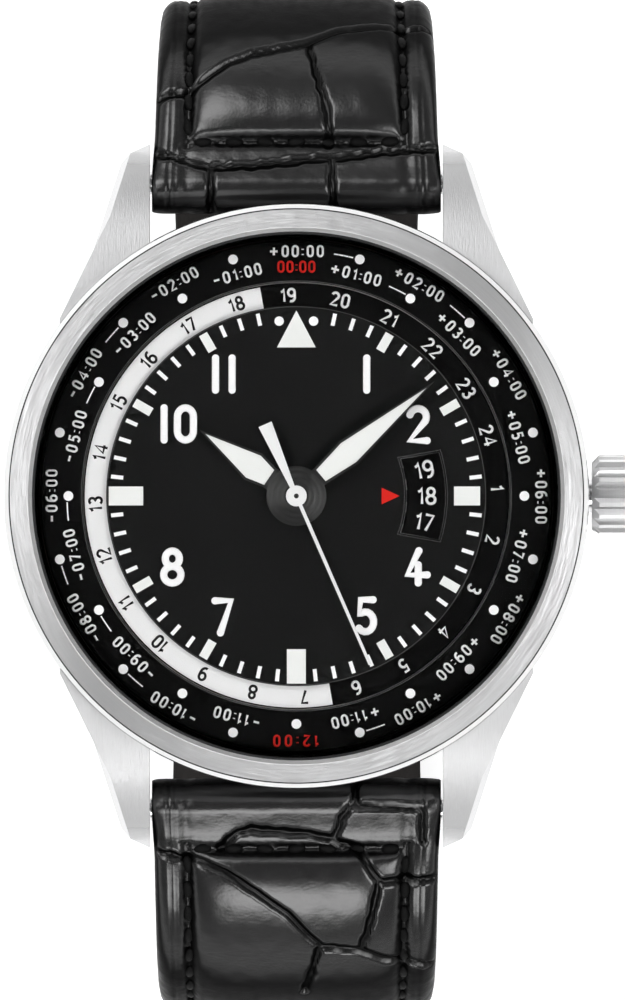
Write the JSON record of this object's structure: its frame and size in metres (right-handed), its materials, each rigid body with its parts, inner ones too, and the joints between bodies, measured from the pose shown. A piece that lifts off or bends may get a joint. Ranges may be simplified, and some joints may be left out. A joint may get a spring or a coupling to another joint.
{
  "type": "world time wristwatch",
  "caption": "Round steel world time wristwatch with a black dial, 24-hour ring, outer zone ring, curved date window, fluted crown and open padded black leather strap with pin buckle.",
  "frame": {"origin": "on the hands' axis, at the flat outer face of the case back", "axes": "+Z out of the dial, +Y towards 12 o'clock, +X towards 3 o'clock and the crown"},
  "size_m": [0.0492, 0.0786, 0.0672],
  "materials": {
    "brushed_steel": "brushed steel, grained",
    "polished_steel": "mirror polished steel",
    "blued_steel": "heat-blued steel",
    "sapphire": "clear domed crystal with an antireflective coat",
    "dial_black": "matte black lacquer",
    "hand_black": "satin black lacquer",
    "hand_white": "matte white lacquer",
    "lume_white": "white luminous compound",
    "black_nylon": "matte black",
    "gasket_rubber": "black rubber",
    "brass_gilt": "gilt, circular grained",
    "nickel_plate": "rhodium plated, striped",
    "ruby": "synthetic ruby, polished",
    "heavy_alloy": "brushed heavy alloy",
    "leather_black": "glossy black, large square scales",
    "lining_leather": "smooth matte lining"
  },
  "bodies": {
    "case": {"case_middle": "brushed_steel", "bezel": "brushed_steel", "crystal": "sapphire", "crystal_gasket": "gasket_rubber", "flange_ring": "black_nylon", "case_back": "brushed_steel", "case_back_gasket": "gasket_rubber", "movement_holder_ring": "black_nylon", "crown_tube": "polished_steel", "city_ring": "dial_black", "dial": "dial_black", "hour_markers": "lume_white", "main_plate": "nickel_plate", "barrel_bridge": "nickel_plate", "train_bridge": "nickel_plate", "balance_cock": "nickel_plate", "calendar_plate": "nickel_plate", "jewels": "ruby", "bridge_screws": "polished_steel", "casing_clamps": "polished_steel", "spring_bars": "polished_steel", "rotor_bearing": "polished_steel"},
    "rotor": {"rotor": "heavy_alloy"},
    "barrel": {"barrel_drum": "brass_gilt", "mainspring": "polished_steel"},
    "ratchet": {"barrel_arbor": "polished_steel", "ratchet_wheel": "polished_steel"},
    "crown_wheel": {"crown_wheel": "polished_steel"},
    "winding_pinion": {"winding_pinion": "polished_steel"},
    "crown": {"crown": "polished_steel", "winding_stem": "polished_steel"},
    "great_wheel": {"great_wheel": "brass_gilt"},
    "third_wheel": {"third_wheel": "brass_gilt"},
    "seconds": {"sweep_seconds_wheel": "brass_gilt", "seconds_hand": "hand_white"},
    "minutes": {"centre_wheel": "brass_gilt", "cannon_pinion": "brass_gilt", "minute_hand": "hand_black", "minute_hand_lume": "lume_white"},
    "minute_wheel": {"minute_wheel": "brass_gilt"},
    "hours": {"hour_wheel": "brass_gilt", "hour_hand": "hand_black", "hour_hand_lume": "lume_white"},
    "idler_24h": {"idler_24h": "brass_gilt"},
    "ring_24h": {"hour_ring_24": "dial_black"},
    "date_drive": {"date_driving_wheel": "brass_gilt"},
    "date_ring": {"date_ring": "dial_black"},
    "escape_wheel": {"escape_wheel": "brass_gilt"},
    "pallet_fork": {"pallet_fork": "polished_steel"},
    "balance": {"balance_wheel": "brass_gilt", "hairspring": "blued_steel"},
    "strap_12": {"strap_12_outer": "leather_black", "strap_12_lining": "lining_leather", "fixed_keeper": "leather_black", "buckle_bar": "polished_steel"},
    "free_keeper": {"free_keeper": "leather_black"},
    "buckle": {"buckle_frame": "brushed_steel"},
    "tongue": {"buckle_tongue": "polished_steel"},
    "strap_6": {"strap_6_outer": "leather_black", "strap_6_lining": "lining_leather"}
  },
  "joints": [
    {"name": "seconds_turn", "type": "hinge", "parent": "case", "child": "seconds", "pos_m": [0, 0, 0.0043], "axis": [0, 0, 1], "continuous": true},
    {"name": "third_turn", "type": "hinge", "parent": "case", "child": "third_wheel", "pos_m": [-0.00272, 0.00471, 0.00533], "axis": [0, 0, 1], "continuous": true},
    {"name": "minutes_turn", "type": "hinge", "parent": "case", "child": "minutes", "pos_m": [0, 0, 0.00565], "axis": [0, 0, 1], "continuous": true},
    {"name": "great_turn", "type": "hinge", "parent": "case", "child": "great_wheel", "pos_m": [0.0025, 0.00624, 0.00455], "axis": [0, 0, 1], "continuous": true},
    {"name": "barrel_turn", "type": "hinge", "parent": "case", "child": "barrel", "pos_m": [0.00901, 0.00631, 0.0049], "axis": [0, 0, 1], "continuous": true},
    {"name": "escape_turn", "type": "hinge", "parent": "case", "child": "escape_wheel", "pos_m": [-0.00178, -0.00489, 0.0048], "axis": [0, 0, 1], "continuous": true},
    {"name": "minute_wheel_turn", "type": "hinge", "parent": "case", "child": "minute_wheel", "pos_m": [-0.0021, 0.00364, 0.0068], "axis": [0, 0, 1], "continuous": true},
    {"name": "hours_turn", "type": "hinge", "parent": "case", "child": "hours", "pos_m": [0, 0, 0.00724], "axis": [0, 0, 1], "continuous": true},
    {"name": "idler_24h_turn", "type": "hinge", "parent": "case", "child": "idler_24h", "pos_m": [-0.0093, -0.00339, 0.00742], "axis": [0, 0, 1], "continuous": true},
    {"name": "ring_24h_turn", "type": "hinge", "parent": "case", "child": "ring_24h", "pos_m": [0, 0, 0.00795], "axis": [0, 0, 1], "continuous": true},
    {"name": "date_drive_turn", "type": "hinge", "parent": "case", "child": "date_drive", "pos_m": [-0.0039, 0.00225, 0.00793], "axis": [0, 0, 1], "continuous": true},
    {"name": "date_ring_turn", "type": "hinge", "parent": "case", "child": "date_ring", "pos_m": [0, 0, 0.00793], "axis": [0, 0, 1], "continuous": true},
    {"name": "rotor_turn", "type": "hinge", "parent": "case", "child": "rotor", "pos_m": [0, 0, 0.00172], "axis": [0, 0, 1], "continuous": true},
    {"name": "crown_turn", "type": "hinge", "parent": "case", "child": "winding_pinion", "pos_m": [0.0131, 0, 0.005], "axis": [1, 0, 0], "continuous": true},
    {"name": "crown_pull", "type": "slide", "parent": "winding_pinion", "child": "crown", "axis": [1, 0, 0], "range_m": [0, 0.0012]},
    {"name": "crown_wheel_turn", "type": "hinge", "parent": "case", "child": "crown_wheel", "pos_m": [0.01159, 0.00122, 0.0022], "axis": [0, 0, 1], "continuous": true},
    {"name": "ratchet_turn", "type": "hinge", "parent": "case", "child": "ratchet", "pos_m": [0.00901, 0.00631, 0.0022], "axis": [0, 0, 1], "continuous": true},
    {"name": "pallet_rock", "type": "hinge", "parent": "case", "child": "pallet_fork", "pos_m": [0.00087, -0.00619, 0.0048], "axis": [0, 0, 1], "range_deg": [-6, 6]},
    {"name": "balance_swing", "type": "hinge", "parent": "case", "child": "balance", "pos_m": [0.0039, -0.0077, 0.00515], "axis": [0, 0, 1], "range_deg": [-150, 150], "stiffness_Nm_per_rad": 0.0000007},
    {"name": "strap_12_fold", "type": "hinge", "parent": "case", "child": "strap_12", "pos_m": [0, 0.02415, 0.003], "axis": [1, 0, 0], "range_deg": [0, 50]},
    {"name": "strap_6_fold", "type": "hinge", "parent": "case", "child": "strap_6", "pos_m": [0, -0.02415, 0.003], "axis": [-1, 0, 0], "range_deg": [0, 50]},
    {"name": "free_keeper_slide", "type": "slide", "parent": "strap_12", "child": "free_keeper", "axis": [0, 1, 0], "range_m": [-0.0018, 0.0015]},
    {"name": "buckle_swing", "type": "hinge", "parent": "strap_12", "child": "buckle", "pos_m": [0, 0.00225, -0.03643], "axis": [1, 0, 0], "range_deg": [-60, 5]},
    {"name": "tongue_swing", "type": "hinge", "parent": "buckle", "child": "tongue", "pos_m": [0, 0.00225, -0.03643], "axis": [1, 0, 0], "range_deg": [0, 70]}
  ],
  "couplings": [
    {"joint": "third_turn", "follows": "seconds_turn", "ratio": -0.13333},
    {"joint": "minutes_turn", "follows": "seconds_turn", "ratio": 0.016667},
    {"joint": "great_turn", "follows": "seconds_turn", "ratio": 0.016667},
    {"joint": "barrel_turn", "follows": "seconds_turn", "ratio": -0.0027778},
    {"joint": "escape_turn", "follows": "seconds_turn", "ratio": -12},
    {"joint": "minute_wheel_turn", "follows": "seconds_turn", "ratio": -0.0055556},
    {"joint": "hours_turn", "follows": "seconds_turn", "ratio": 0.0013889},
    {"joint": "idler_24h_turn", "follows": "seconds_turn", "ratio": -0.0027778},
    {"joint": "ring_24h_turn", "follows": "seconds_turn", "ratio": -0.00069444},
    {"joint": "date_drive_turn", "follows": "seconds_turn", "ratio": -0.00069444},
    {"joint": "crown_wheel_turn", "follows": "crown_turn", "ratio": 0.375},
    {"joint": "ratchet_turn", "follows": "crown_turn", "ratio": -0.27273}
  ]
}
